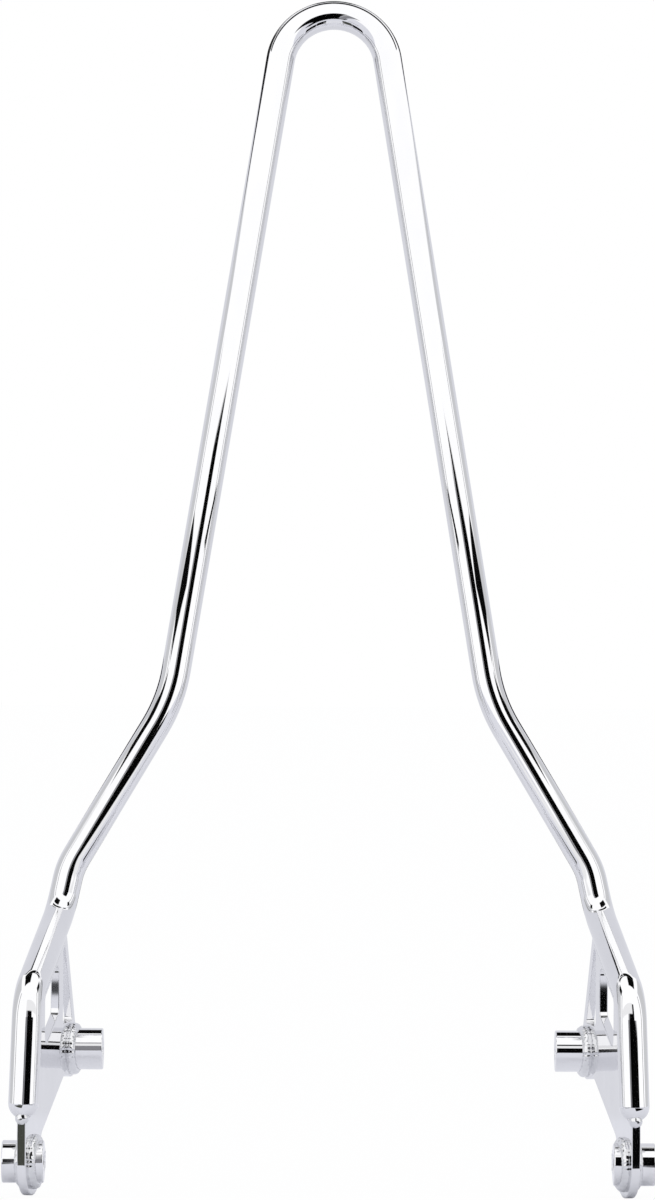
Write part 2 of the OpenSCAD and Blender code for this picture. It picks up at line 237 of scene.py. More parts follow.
@dataclass(frozen=True)
class Shell:
    """A closed mesh in the making: points with their normals, on the right-hand side, in millimetres."""

    points: list[Vector] = field(default_factory=list)
    normals: list[Vector] = field(default_factory=list)
    faces: list[tuple[int, ...]] = field(default_factory=list)

    def add_ring(self, ring: Ring) -> list[int]:
        """Adds a ring of points and returns their numbers.

        Args:
            ring: The points, each with its normal.

        Returns:
            The points' numbers.
        """
        start = len(self.points)
        for point, normal in ring:
            self.points.append(point)
            self.normals.append(normal)
        return list(range(start, len(self.points)))

    def bridge(self, low: Sequence[int], high: Sequence[int]) -> None:
        """Joins two rings of the same length with four-sided faces.

        Args:
            low: Numbers of the first ring's points.
            high: Numbers of the second ring's points.
        """
        count = len(low)
        for i in range(count):
            j = (i + 1) % count
            self.faces.append((low[i], low[j], high[j], high[i]))

    def close(self, ring: Sequence[int], tip: Vector, normal: Vector) -> None:
        """Closes a ring with a fan of faces to one tip.

        Args:
            ring: Numbers of the ring's points.
            tip: The new point.
            normal: Its normal.
        """
        self.points.append(tip)
        self.normals.append(normal)
        last = len(self.points) - 1
        for i, number in enumerate(ring):
            self.faces.append((number, ring[(i + 1) % len(ring)], last))

    def loft(self, rings: Sequence[Ring], looped: bool) -> list[list[int]]:
        """Joins a row of rings.

        Args:
            rings: The rings, each with the same number of points.
            looped: True if the last ring joins the first.

        Returns:
            The numbers of each ring's points.
        """
        numbers = [self.add_ring(ring) for ring in rings]
        for low, high in zip(numbers, numbers[1:]):
            self.bridge(low, high)
        if looped:
            self.bridge(numbers[-1], numbers[0])
        return numbers

    def piece(
        self,
        name: str,
        side: Side,
        material: bpy.types.Material,
        slot: str,
        stands_for: Sequence[str],
        own_normals: bool = True,
    ) -> bpy.types.Object:
        """Makes the object of this mesh, mirrored for the left, and puts it on the frame.

        Args:
            name: The piece's name.
            side: The side on which it lies.
            material: Its finish.
            slot: The record's material slot; not used.
            stands_for: CAD nodes that it replaces.
            own_normals: True to shade by the given normals, False for the mesh's own smooth ones.

        Returns:
            The new object.
        """
        flip = Vector((side.value, 1, 1))
        mesh = bpy.data.meshes.new(name)
        mesh.from_pydata([p * flip * MM for p in self.points], [], self.faces)
        work = bmesh.new()
        work.from_mesh(mesh)
        bmesh.ops.recalc_face_normals(work, faces=work.faces)
        work.to_mesh(mesh)
        work.free()
        mesh.shade_smooth()
        if own_normals:
            mesh.normals_split_custom_set_from_vertices([n * flip for n in self.normals])
        mesh.materials.append(material)
        piece = new_object(name, mesh)
        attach(piece, BODY)
        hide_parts(*stands_for)
        LOG.info("%s: %d points, %d faces", name, len(mesh.vertices), len(mesh.polygons))
        return piece


class Slot(Enum):
    """Material slots of the record."""

    STEEL = "chrome_steel"
    WELD = "weld_metal"


def plating(
    tree: Tree,
    tint: str,
    shade: str,
    haze: tuple[float, float],
    cloud: Socket,
    height: Socket,
    height_mm: float,
) -> None:
    """Finishes a node tree as bright chromium over polished steel.

    Args:
        tree: The material's tree, with the pattern nodes already in it.
        tint: Colour of the mirror, as hex.
        shade: Colour where the plating is a little thicker, as hex.
        haze: Lowest and highest roughness.
        cloud: A value from 0 to 1 that drives colour and haze.
        height: The relief, from 0 to 1.
        height_mm: The relief's full height.
    """
    colour = add_node(
        tree, "ShaderNodeMix", {"data_type": "RGBA", 6: linear(tint), 7: linear(shade)}, {0: cloud}
    )
    gloss = add_node(tree, "ShaderNodeMapRange", {"To Min": haze[0], "To Max": haze[1]}, {"Value": cloud})
    bump = add_node(
        tree, "ShaderNodeBump", {"Strength": 1.0, "Distance": height_mm * MM}, {"Height": height}
    )
    shader = add_node(
        tree,
        "ShaderNodeBsdfPrincipled",
        {"Metallic": 1.0},
        {"Base Color": colour.outputs[2], "Roughness": gloss.outputs[0], "Normal": bump.outputs[0]},
    )
    add_node(tree, "ShaderNodeOutputMaterial", {}, {"Surface": shader.outputs[0]})


def new_material(name: str) -> bpy.types.Material:
    """Makes an empty node material.

    Args:
        name: The real material and how its surface was made.

    Returns:
        The new material.
    """
    material = bpy.data.materials.new(name)
    material.use_nodes = True
    material.node_tree.nodes.clear()
    return material


def overlay(tree: Tree, share: Socket, under: bpy.types.Node, over: bpy.types.Node) -> None:
    """Ends a material's tree with two shaders, the share being that of the one over.

    Args:
        tree: The material's tree.
        share: How much the second shader covers, from 0 to 1.
        under: The first shader.
        over: The second shader.
    """
    links = {0: share, 1: under.outputs[0], 2: over.outputs[0]}
    mixed = add_node(tree, "ShaderNodeMixShader", {}, links)
    add_node(tree, "ShaderNodeOutputMaterial", {}, {"Surface": mixed.outputs[0]})


def pattern(
    tree: Tree, spacing_mm: float, stretch: Sequence[float] = (1, 1, 1), detail: float = 2.0
) -> Socket:
    """Adds a cloud pattern in the object's own space.

    Args:
        tree: The node tree.
        spacing_mm: Width of one patch.
        stretch: How many times longer a patch is along each axis.
        detail: Finer levels laid over it.

    Returns:
        The pattern's value, from 0 to 1.
    """
    place = add_node(tree, "ShaderNodeTexCoord")
    scaled = add_node(
        tree,
        "ShaderNodeMapping",
        {"Scale": [1 / (spacing_mm * MM * s) for s in stretch]},
        {"Vector": place.outputs["Object"]},
    )
    cloud = add_node(
        tree, "ShaderNodeTexNoise", {"Scale": 1.0, "Detail": detail}, {"Vector": scaled.outputs[0]}
    )
    return cloud.outputs["Fac"]


@dataclass(frozen=True)
class BuffedChrome:
    """Bright decorative chromium on cold-drawn steel bar, belt-ground and then buffed on a wheel.

    The eye sees a clean mirror. The wheel leaves shallow waves along the bar, which make the edges of
    reflections waver a little, and a faint haze in patches a few centimetres long.
    """

    name: str = "chrome-plated buffed steel bar"
    tint: str = "#EDEDEF"
    shade: str = "#E5E5E7"
    haze: tuple[float, float] = (0.025, 0.05)
    patch_mm: float = 14.0
    wave_mm: float = 9.0
    wave_height_mm: float = 0.010
    along: tuple[float, float, float] = (1.0, 1.0, 3.5)

    def material(self) -> bpy.types.Material:
        """Builds the material.

        Returns:
            The new material.
        """
        made = new_material(self.name)
        tree = made.node_tree
        cloud = pattern(tree, self.patch_mm, self.along)
        wave = pattern(tree, self.wave_mm, self.along, 0.0)
        plating(tree, self.tint, self.shade, self.haze, cloud, wave, self.wave_height_mm)
        return made


@dataclass(frozen=True)
class GroundChrome(BuffedChrome):
    """The same plating on steel plate, cut out, belt-ground flat and buffed.

    A flat mirror shows the belt more than a round one: long shallow ripples run up the plate.
    """

    name: str = "chrome-plated ground steel plate"
    haze: tuple[float, float] = (0.035, 0.07)
    patch_mm: float = 12.0
    wave_mm: float = 11.0
    wave_height_mm: float = 0.014
    along: tuple[float, float, float] = (1.0, 1.0, 1.6)


@dataclass(frozen=True)
class TurnedChrome(BuffedChrome):
    """The same plating on turned steel bushings.

    The tool's feed leaves fine rings round the axis. They are far too fine to show at 0.1 mm, so they are
    drawn 0.6 mm apart and very shallow, and show as a slight silk along the bands of light.
    """

    name: str = "chrome-plated turned steel"
    haze: tuple[float, float] = (0.03, 0.06)
    patch_mm: float = 6.0
    wave_mm: float = 0.6
    wave_height_mm: float = 0.0006
    along: tuple[float, float, float] = (1.0, 40.0, 40.0)


@dataclass(frozen=True)
class WeldChrome(BuffedChrome):
    """The same plating over weld metal that was left as welded.

    The ripples are in the mesh. Plating rounds the small pits and spatter between them, so the bead
    sparkles in grains about a millimetre wide and is a little duller than the bar.
    """

    name: str = "chrome-plated weld metal"
    tint: str = "#E8E8EA"
    shade: str = "#D8D9DB"
    haze: tuple[float, float] = (0.06, 0.13)
    patch_mm: float = 1.6
    wave_mm: float = 1.1
    wave_height_mm: float = 0.05
    along: tuple[float, float, float] = (1.0, 1.0, 1.0)


@dataclass(frozen=True)
class HoopBar:
    """The round bar, bent in one length: front legs, side runs, hoop legs and the loop at the top.

    The toe bends lie 6.5 mm lower than in the part's source, where the photograph's outline has them.
    """

    side: SideFrame
    diameter: float = 15.9
    lean: float = 12.0
    loop_radius: float = 30.0
    loop_z: float = 590.0
    kink_x: float = 86.4
    kink_z: float = 239.4
    kink_bend: float = 90.0
    ankle_x: float = 139.4
    ankle_z: float = 150.0
    ankle_bend: float = 40.0
    heel_s: float = 68.1
    heel_z: float = 126.9
    heel_bend: float = 22.0
    toe_s: float = -4.2
    toe_z: float = 87.15
    toe_bend: float = 25.0
    end_s: float = -12.9
    end_z: float = 31.5
    around: int = 72
    bend_step: float = 3.0
    cap_step: int = 10

    @property
    def radius(self) -> float:
        """Radius of the bar."""
        return self.diameter / 2

    def hoop_point(self, x: float, z: float) -> Vector:
        """Returns a place in the leaning plane of the hoop."""
        heel = self.side.point(self.heel_s, self.heel_z)
        return Vector((x, heel.y + (z - heel.z) * math.tan(math.radians(self.lean)), z))

    def apex(self) -> Vector:
        """Returns where the two hoop legs would meet if the loop weren't bent.

        Returns:
            The meeting place in the hoop's plane.
        """
        upright = math.cos(math.radians(self.lean))
        rise = (self.loop_z - self.kink_z) / upright
        tilt = math.acos(self.loop_radius / math.hypot(self.kink_x, rise)) - math.atan2(rise, self.kink_x)
        return self.hoop_point(0, self.loop_z + self.loop_radius / math.sin(tilt) * upright)

    def corners(self) -> tuple[list[Vector], list[float]]:
        """Lists the centre line's corners from the left end to the right one, with their bend radii.

        Returns:
            The corners, and one bend radius for each.
        """
        right = [
            self.hoop_point(self.kink_x, self.kink_z),
            self.hoop_point(self.ankle_x, self.ankle_z),
            self.side.point(self.heel_s, self.heel_z),
            self.side.point(self.toe_s, self.toe_z),
            self.side.point(self.end_s, self.end_z),
        ]
        bends = [self.kink_bend, self.ankle_bend, self.heel_bend, self.toe_bend, 0.0]
        left = [Vector((-p.x, p.y, p.z)) for p in reversed(right)]
        return left + [self.apex()] + right, bends[::-1] + [self.loop_radius] + bends

    def centre_line(self) -> list[tuple[Vector, Vector]]:
        """Lists points on the centre line, each with its direction.

        Returns:
            The points and unit directions, from the left end to the right one.
        """
        corners, bends = self.corners()
        line = [(corners[0], (corners[1] - corners[0]).normalized())]
        for before, corner, after, bend in zip(corners, corners[1:], corners[2:], bends[1:]):
            u = (corner - before).normalized()
            v = (after - corner).normalized()
            angle = u.angle(v)
            start = corner - u * bend * math.tan(angle / 2)
            inward = (v - u * u.dot(v)).normalized()
            centre = start + inward * bend
            steps = max(2, math.ceil(math.degrees(angle) / self.bend_step))
            for i in range(steps + 1):
                a = angle * i / steps
                line.append(
                    (
                        centre + (u * math.sin(a) - inward * math.cos(a)) * bend,
                        u * math.cos(a) + inward * math.sin(a),
                    )
                )
        line.append((corners[-1], (corners[-1] - corners[-2]).normalized()))
        return line

    def section(self, point: Vector, along: Vector, across: Vector, lift: float) -> Ring:
        """Returns one ring of the bar or of its rounded end.

        Args:
            point: Centre of the ball or section.
            along: Direction of travel.
            across: A direction square to it.
            lift: Angle up the rounded end, in radians, or 0 on the bar itself.

        Returns:
            The ring's points and normals.
        """
        other = along.cross(across)
        ring = []
        for i in range(self.around):
            a = math.tau * i / self.around
            normal = (across * math.cos(a) + other * math.sin(a)) * math.cos(lift) + along * math.sin(lift)
            ring.append((point + normal * self.radius, normal))
        return ring

    def build(self, material: bpy.types.Material) -> bpy.types.Object:
        """Sweeps the bar and closes its ends with half balls.

        Args:
            material: The bar's finish.

        Returns:
            The new object.
        """
        line = self.centre_line()
        across = line[0][1].orthogonal().normalized()
        cap = [math.radians(a) for a in range(90 - self.cap_step, 0, -self.cap_step)]
        rings = [self.section(line[0][0], line[0][1], across, -a) for a in cap]
        for point, along in line:
            across = (across - along * along.dot(across)).normalized()
            rings.append(self.section(point, along, across, 0.0))
        rings += [self.section(line[-1][0], line[-1][1], across, a) for a in reversed(cap)]
        shell = Shell()
        numbers = shell.loft(rings, looped=False)
        shell.close(numbers[0], line[0][0] - line[0][1] * self.radius, -line[0][1])
        shell.close(numbers[-1], line[-1][0] + line[-1][1] * self.radius, line[-1][1])
        return shell.piece("bent_bar", Side.RIGHT, material, Slot.STEEL.value, ["hoop_bar"])


@dataclass(frozen=True)
class SidePlate:
    """A side plate, cut from sheet to follow the underside of the bar, with two windows."""

    bar: HoopBar
    thickness: float = 4.8
    upper_bolt: tuple[float, float] = (86.4, 51.4)
    lower_lug: float = 17.5
    upper_lug: float = 15.0
    edge_above_lower: float = 3.8
    edge_below_upper: float = 3.7
    rear_edge_out: float = 12.3
    lug_fillet: float = 7.0
    root_gap: float = 0.3
    window_rim: float = 9.0
    window_field: float = 40.7
    window_front: float = 24.5
    window_rear: float = 56.4
    window_corner: float = 4.0
    post: float = 9.0
    rear_strip: float = 5.0
    rear_window_up: float = 15.1
    bushing_hole: float = 9.0
    edge_round: float = 0.55
    round_steps: int = 4
    window_step: float = 9.0
    corner_gap: float = 0.35

    @property
    def upper(self) -> Flat:
        """Place of the upper bolt on the plate."""
        return Vector(self.upper_bolt)

    @property
    def heel(self) -> Flat:
        """The heel bend's corner on the plate."""
        return Vector((self.bar.heel_s, self.bar.heel_z))

    @property
    def toe(self) -> Flat:
        """The toe bend's corner on the plate."""
        return Vector((self.bar.toe_s, self.bar.toe_z))

    @property
    def end(self) -> Flat:
        """Centre of the bar's rounded end on the plate."""
        return Vector((self.bar.end_s, self.bar.end_z))

    @property
    def offset(self) -> float:
        """Distance of the plate's edge from the bar's centre line."""
        return self.bar.radius + self.root_gap

    @property
    def ankle(self) -> Flat:
        """The ankle bend's corner, laid into the plane of the plate.

        Returns:
            The corner as s and z.
        """
        ankle = self.bar.hoop_point(self.bar.ankle_x, self.bar.ankle_z)
        a = math.radians(self.bar.side.splay)
        return Vector((ankle.y * math.cos(a) - (ankle.x - self.bar.side.half) * math.sin(a), ankle.z))

    def lower_edge(self) -> tuple[Flat, Flat]:
        """Returns a point on the lower edge and the edge's direction."""
        start = Vector((0, self.edge_above_lower))
        return start, (self.upper - Vector((0, self.edge_below_upper)) - start).normalized()

    def rear_edge(self) -> Flat:
        """Returns the direction of the rear edge, down from the heel bend."""
        way = self.upper - self.heel
        return turned(way, math.degrees(math.asin(self.rear_edge_out / way.length))).normalized()

    def bend_centre(self, corner: Flat, u: Flat, v: Flat, radius: float) -> Flat:
        """Returns the centre of a bend to the left of the way u and then v."""
        return corner + (left_of(u) + left_of(v)) * radius / (1 + left_of(u).dot(left_of(v)))

    def fillet(self, lug: Flat, lug_r: float, p: Flat, u: Flat, n: Flat) -> tuple[Flat, Flat, Flat]:
        """Finds the fillet between a lug and an edge.

        Args:
            lug: Centre of the lug.
            lug_r: Its radius.
            p: A point on the edge.
            u: The edge's direction from the lug to its far end.
            n: The side of the edge on which the fillet lies.

        Returns:
            The fillet's centre and its touching points on the edge and the lug.
        """
        height = (lug - p).dot(n)
        run = math.sqrt((lug_r + self.lug_fillet) ** 2 - (height - self.lug_fillet) ** 2)
        centre = p + u * ((lug - p).dot(u) + run) + n * self.lug_fillet
        return centre, centre - n * self.lug_fillet, lug + (centre - lug).normalized() * lug_r

    def outline(self) -> list[Flat]:
        """Lists the plate's outer edge, anticlockwise.

        A point close beside each sharp corner keeps the corner's mean normal off the long flat edges.

        Returns:
            The outline's points.
        """
        start, along = self.lower_edge()
        below = -left_of(along)
        down = self.rear_edge()
        low, low_edge, low_lug = self.fillet(Vector((0, 0)), self.lower_lug, start, along, below)
        high, high_edge, high_lug = self.fillet(self.upper, self.upper_lug, start, -along, below)
        rear, rear_edge, rear_lug = self.fillet(self.upper, self.upper_lug, self.heel, -down, left_of(down))
        to_heel = (self.heel - self.ankle).normalized()
        to_toe = (self.toe - self.heel).normalized()
        to_end = (self.end - self.toe).normalized()
        heel = self.bend_centre(self.heel, to_heel, to_toe, -self.bar.heel_bend)
        toe = self.bend_centre(self.toe, to_toe, to_end, self.bar.toe_bend)
        reach = self.bar.heel_bend + self.offset
        gap = self.heel - heel
        k = gap.dot(down)
        heel_leave = self.heel + down * (math.sqrt(k * k - gap.dot(gap) + reach * reach) - k)
        drop = math.sqrt(self.offset**2 - (self.end.x + self.lower_lug) ** 2)
        front = Vector((-self.lower_lug, self.end.y - drop))
        return [
            *arc(Vector((0, 0)), self.lower_lug, Vector((-1, 0)), low_lug, True),
            *arc(low, self.lug_fillet, low_lug - low, low_edge - low, False)[1:],
            *arc(high, self.lug_fillet, high_edge - high, high_lug - high, False),
            *arc(self.upper, self.upper_lug, high_lug - self.upper, rear_lug - self.upper, True)[1:],
            *arc(rear, self.lug_fillet, rear_lug - rear, rear_edge - rear, False)[1:],
            heel_leave + down * self.corner_gap,
            *arc(heel, reach, heel_leave - heel, left_of(to_toe), False),
            *arc(toe, self.bar.toe_bend - self.offset, -left_of(to_toe), -left_of(to_end), True),
            *arc(self.end, self.offset, left_of(to_end), front - self.end, False),
            front - Vector((0, self.corner_gap)),
        ]

    def rounded(self, corners: Sequence[Flat], radius: float) -> list[Flat]:
        """Rounds every corner of an anticlockwise polygon.

        Args:
            corners: The polygon's corners.
            radius: Radius at each of them.

        Returns:
            The rounded outline.
        """
        points = []
        for i, corner in enumerate(corners):
            u = (corners[i - 1] - corner).normalized()
            v = (corners[(i + 1) % len(corners)] - corner).normalized()
            half = u.angle(v) / 2
            centre = corner + (u + v).normalized() * radius / math.sin(half)
            reach = radius / math.tan(half)
            start, finish = corner + u * reach - centre, corner + v * reach - centre
            points += arc(centre, radius, start, finish, True, self.window_step)
        return points

    def windows(self) -> list[list[Flat]]:
        """Lists the outlines of the front and rear windows, anticlockwise.

        Returns:
            The front outline and the rear one.
        """
        start, along = self.lower_edge()
        run = (self.heel - self.toe).normalized()
        roof = self.toe - left_of(run) * (self.bar.radius + self.window_rim)
        down = self.rear_edge()
        strip = self.heel - left_of(down) * self.rear_strip
        sill = self.upper + Vector((0, self.rear_window_up))
        up, level = Vector((0, 1)), Vector((1, 0))
        front, back, post = (
            Vector((s, 0)) for s in (self.window_front, self.window_rear, self.window_rear + self.post)
        )
        floor = start + Vector((0, self.window_field))
        large = [
            crossing(floor, along, front, up),
            crossing(floor, along, back, up),
            crossing(roof, run, back, up),
            crossing(roof, run, front, up),
        ]
        small = [
            crossing(sill, level, post, up),
            crossing(sill, level, strip, down),
            crossing(roof, run, strip, down),
            crossing(roof, run, post, up),
        ]
        return [self.rounded(large, self.window_corner), self.rounded(small, self.window_corner / 2)]

    def rim(self, shell: Shell, outline: Sequence[Flat], solid_left: bool) -> tuple[list[int], list[int]]:
        """Adds the rounded edge along one outline.

        Args:
            shell: The mesh in the making.
            outline: The outline.
            solid_left: True if the plate lies to the left of the outline's direction.

        Returns:
            The numbers of the points where the edge meets the inner and the outer face.
        """
        count = len(outline)
        ways = []
        for i, p in enumerate(outline):
            before = left_of(p - outline[i - 1])
            after = left_of(outline[(i + 1) % count] - p)
            mean = (before + after) / (1 + before.dot(after))
            ways.append(mean if solid_left else -mean)
        rings = []
        for facing in (Face.INNER, Face.OUTER):
            steps = range(self.round_steps + 1)
            for step in reversed(steps) if facing is Face.INNER else steps:
                a = math.pi / 2 * step / self.round_steps
                inset = self.edge_round * (1 - math.cos(a))
                out = facing.value * (self.thickness / 2 - self.edge_round * (1 - math.sin(a)))
                rings.append(
                    [
                        (
                            self.bar.side.point(p.x + w.x * inset, p.y + w.y * inset, out),
                            self.bar.side.way(
                                -w.normalized().x * math.cos(a),
                                -w.normalized().y * math.cos(a),
                                facing.value * math.sin(a),
                            ),
                        )
                        for p, w in zip(outline, ways)
                    ]
                )
        numbers = shell.loft(rings, looped=False)
        return numbers[0], numbers[-1]

    def fill(self, shell: Shell, loops: Sequence[Sequence[int]]) -> None:
        """Fills a flat face between its outer loop and its holes.

        Args:
            shell: The mesh in the making.
            loops: Numbers of each loop's points, the outer loop first.
        """
        work = bmesh.new()
        numbers = {}
        edges = []
        for loop in loops:
            corners = [work.verts.new(shell.points[n]) for n in loop]
            numbers.update(zip(corners, loop))
            edges += [work.edges.new((corners[i - 1], corners[i])) for i in range(len(corners))]
        bmesh.ops.triangle_fill(work, use_beauty=True, edges=edges)
        shell.faces.extend(tuple(numbers[v] for v in f.verts) for f in work.faces)
        work.free()

    def build(self, side: Side, material: bpy.types.Material) -> bpy.types.Object:
        """Builds one plate with rounded edges.

        Args:
            side: The side of the machine.
            material: The plate's finish.

        Returns:
            The new object.
        """
        shell = Shell()
        # Each hole's arc ends a hair before its start, for a full turn.
        round_holes = [
            arc(centre, self.bushing_hole, Vector((1, 0)), Vector((1, -1e-4)), True)[:-1]
            for centre in (Vector((0, 0)), self.upper)
        ]
        rims = [self.rim(shell, self.outline(), True)]
        rims += [self.rim(shell, hole, False) for hole in self.windows() + round_holes]
        for face in (0, 1):
            self.fill(shell, [rim[face] for rim in rims])
        name = f"{side.word}_side_plate"
        return shell.piece(f"{side.word}_plate", side, material, Slot.STEEL.value, [name])


@dataclass(frozen=True)
class Bushing:
    """A turned bushing with its bore across the machine, welded through a side plate."""

    level: str
    frame: SideFrame
    bolt: tuple[float, float]
    reach_in: float
    reach_out: float
    diameter: float = 22.2
    bore: float = 10.5
    edge: float = 0.8
    bore_edge: float = 0.5
    around: int = 96
    corner_step: int = 15

    def profile(self) -> list[tuple[float, float, float]]:
        """Lists the section's points.

        Returns:
            For each point the reach along the axis, the radius and the normal's angle from the axis
            in degrees.
        """
        rows: list[tuple[float, float, float]] = []
        outer, inner = self.diameter / 2, self.bore / 2
        for end, sign in ((self.reach_out, 1), (-self.reach_in, -1)):
            corner = []
            for angle in range(90, -1, -self.corner_step):
                a = math.radians(angle)
                reach = end - sign * self.edge * (1 - math.cos(a))
                corner.append((reach, outer - self.edge * (1 - math.sin(a)), angle))
            for angle in range(0, -91, -self.corner_step):
                a = math.radians(angle)
                reach = end - sign * self.bore_edge * (1 - math.cos(a))
                corner.append((reach, inner + self.bore_edge * (1 + math.sin(a)), angle))
            if sign < 0:
                corner = [(x, r, 180 - angle) for x, r, angle in reversed(corner)]
            rows += corner
        return rows

    def build(self, side: Side, material: bpy.types.Material) -> bpy.types.Object:
        """Turns the section round the bolt's axis.

        Args:
            side: The side of the machine.
            material: The bushing's finish.

        Returns:
            The new object.
        """
        centre = self.frame.point(*self.bolt)
        rings = []
        for reach, radius, angle in self.profile():
            a = math.radians(angle)
            hub, facing = centre + Vector((reach, 0, 0)), Vector((math.cos(a), 0, 0))
            ring = []
            for i in range(self.around):
                t = math.tau * i / self.around
                spoke = Vector((0, math.cos(t), math.sin(t)))
                ring.append((hub + spoke * radius, facing + spoke * math.sin(a)))
            rings.append(ring)
        shell = Shell()
        shell.loft(rings, looped=True)
        name = f"{side.word}_{self.level}_bushing"
        return shell.piece(f"{name}_turned", side, material, Slot.STEEL.value, [name])


@dataclass(frozen=True)
class Ripple:
    """The ripples that a welder leaves, one for each dip of the rod.

    They slant across the bead by the lag, their pitch drifts, and lumps about as wide as the grain lie
    over them.
    """

    pitch: float = 2.3
    height: float = 0.16
    lag: float = 0.30
    drift: float = 0.5
    drift_over: float = 3.0
    mean: float = 0.7
    unevenness: float = 0.22
    grain: float = 1.8
    lumps_round: float = 1.4

    def swell(self, travel: float, angle: float, seed: float) -> float:
        """Returns how far the bead stands out at a place.

        Args:
            travel: Distance along the bead.
            angle: Place round its section, in radians.
            seed: Keeps the beads from being alike.

        Returns:
            The distance in millimetres.
        """
        drift = noise.noise(Vector((travel / (self.drift_over * self.pitch), seed, 0.5)))
        phase = travel / self.pitch + self.lag * math.cos(angle) + self.drift * drift
        crest = abs(math.sin(math.pi * phase))
        across, upward = (self.lumps_round * part for part in (math.cos(angle), math.sin(angle)))
        rough = noise.noise(Vector((travel / self.grain, across + seed, upward)))
        return self.height * (crest - self.mean) + self.unevenness * rough


@dataclass(frozen=True)
class RingBead:
    """A weld round a bushing on one face of a side plate."""

    level: str
    face: Face
    frame: SideFrame
    bolt: tuple[float, float]
    foot: float
    climb: float
    bushing_d: float = 22.2
    plate_t: float = 4.8
    fullness: float = 1.25
    ripple: Ripple = Ripple()
    bolt_seed: float = 7.3
    face_seed: float = 3.1
    side_seed: float = 11.9
    around: int = 288
    section: int = 28
    closing: int = 16

    def build(self, side: Side, material: bpy.types.Material) -> bpy.types.Object:
        """Runs the bead once round the bushing and lets its last ripples pass into the first.

        Args:
            side: The side of the machine.
            material: The bead's finish.

        Returns:
            The new object.
        """
        chord = math.hypot(self.foot, self.climb) / 2
        r = chord * self.fullness
        sink = math.sqrt(r * r - chord * chord)
        rise = self.climb / 2 - self.foot / (2 * chord) * sink
        spread = self.bushing_d / 2 + self.foot / 2 - self.climb / (2 * chord) * sink
        shift = self.plate_t / 2 * math.tan(math.radians(self.frame.splay))
        s0, z0 = self.bolt[0] - self.face.value * shift, self.bolt[1]
        seed = (
            self.bolt_seed * self.bolt[0] + self.face_seed * self.face.value + self.side_seed * side.value
        )
        rings = []
        for i in range(self.around):
            t = math.tau * i / self.around
            ring = []
            for j in range(self.section):
                a = math.tau * j / self.section
                swollen = r + self.ripple.swell(t * spread, a, seed)
                if i > self.around - self.closing:
                    share = (self.around - i) / self.closing
                    swollen = r + (swollen - r) * share + self.ripple.swell(0.0, a, seed) * (1 - share)
                reach = spread + swollen * math.cos(a)
                out = self.face.value * (self.plate_t / 2 + rise + swollen * math.sin(a))
                place = self.frame.point(s0 + reach * math.cos(t), z0 + reach * math.sin(t), out)
                ring.append((place, Vector()))
            rings.append(ring)
        shell = Shell()
        shell.loft(rings, looped=True)
        name = f"{side.word}_{self.level}_{self.face.word}_bead"
        return shell.piece(f"{name}_weld", side, material, Slot.WELD.value, [name], own_normals=False)


@dataclass(frozen=True)
class SeamBead:
    """A weld along the corner between the bar and one face of the plate, round the toe bend's inside."""

    plate: SidePlate
    face: Face
    radius: float = 2.8
    rear_gap: float = 14.0
    low_gap: float = 2.0
    stand_off: float = 0.3
    end_taper: float = 0.02
    ripple: Ripple = Ripple(pitch=2.6, height=0.13, unevenness=0.16)
    face_seed: float = 5.7
    side_seed: float = 17.0
    step: float = 0.35
    section: int = 20

    def path(self) -> list[Flat]:
        """Lists points on the bar's centre line beside the bead, evenly spaced.

        Returns:
            The points, from the heel bend down to the bar's end.
        """
        plate, bend = self.plate, self.plate.bar.toe_bend
        to_toe = (plate.toe - plate.heel).normalized()
        to_end = (plate.end - plate.toe).normalized()
        centre = plate.bend_centre(plate.toe, to_toe, to_end, bend)
        corner = arc(centre, bend, -left_of(to_toe), -left_of(to_end), True, 1.0)
        stops = [plate.heel + to_toe * self.rear_gap, *corner, plate.end - to_end * self.low_gap]
        points = []
        for a, b in zip(stops, stops[1:]):
            count = max(1, round((b - a).length / self.step))
            points += [a + (b - a) * i / count for i in range(count)]
        return points + [stops[-1]]

    def build(self, side: Side, material: bpy.types.Material) -> bpy.types.Object:
        """Runs the bead along the bar, tapered at both ends.

        Args:
            side: The side of the machine.
            material: The bead's finish.

        Returns:
            The new object.
        """
        bar_r, half_t = self.plate.bar.radius, self.plate.thickness / 2
        offset = math.sqrt(bar_r**2 - half_t**2) + self.radius * self.stand_off
        points = self.path()
        seed = self.face_seed * self.face.value + self.side_seed * side.value
        travel = 0.0
        total = sum((b - a).length for a, b in zip(points, points[1:]))
        rings = []
        for i, p in enumerate(points):
            if i:
                travel += (p - points[i - 1]).length
            way = (points[min(i + 1, len(points) - 1)] - points[max(i - 1, 0)]).normalized()
            inward = left_of(way)
            near_end = min(travel, total - travel) / self.radius
            taper = math.sqrt(max(self.end_taper, 1 - (1 - min(near_end, 1.0)) ** 2))
            ring = []
            for j in range(self.section):
                a = math.tau * j / self.section
                r = (self.radius + self.ripple.swell(travel, a, seed)) * taper
                q = p + inward * (offset + r * math.cos(a))
                out = self.face.value * (half_t + r * math.sin(a))
                ring.append((self.plate.bar.side.point(q.x, q.y, out), Vector()))
            rings.append(ring)
        shell = Shell()
        numbers = shell.loft(rings, looped=False)
        for ring in (numbers[0], numbers[-1]):
            tip = sum((shell.points[n] for n in ring), Vector()) / len(ring)
            shell.close(ring, tip, Vector())
        name = f"{side.word}_{self.face.word}_seam"
        return shell.piece(f"{name}_weld", side, material, Slot.WELD.value, [name], own_normals=False)


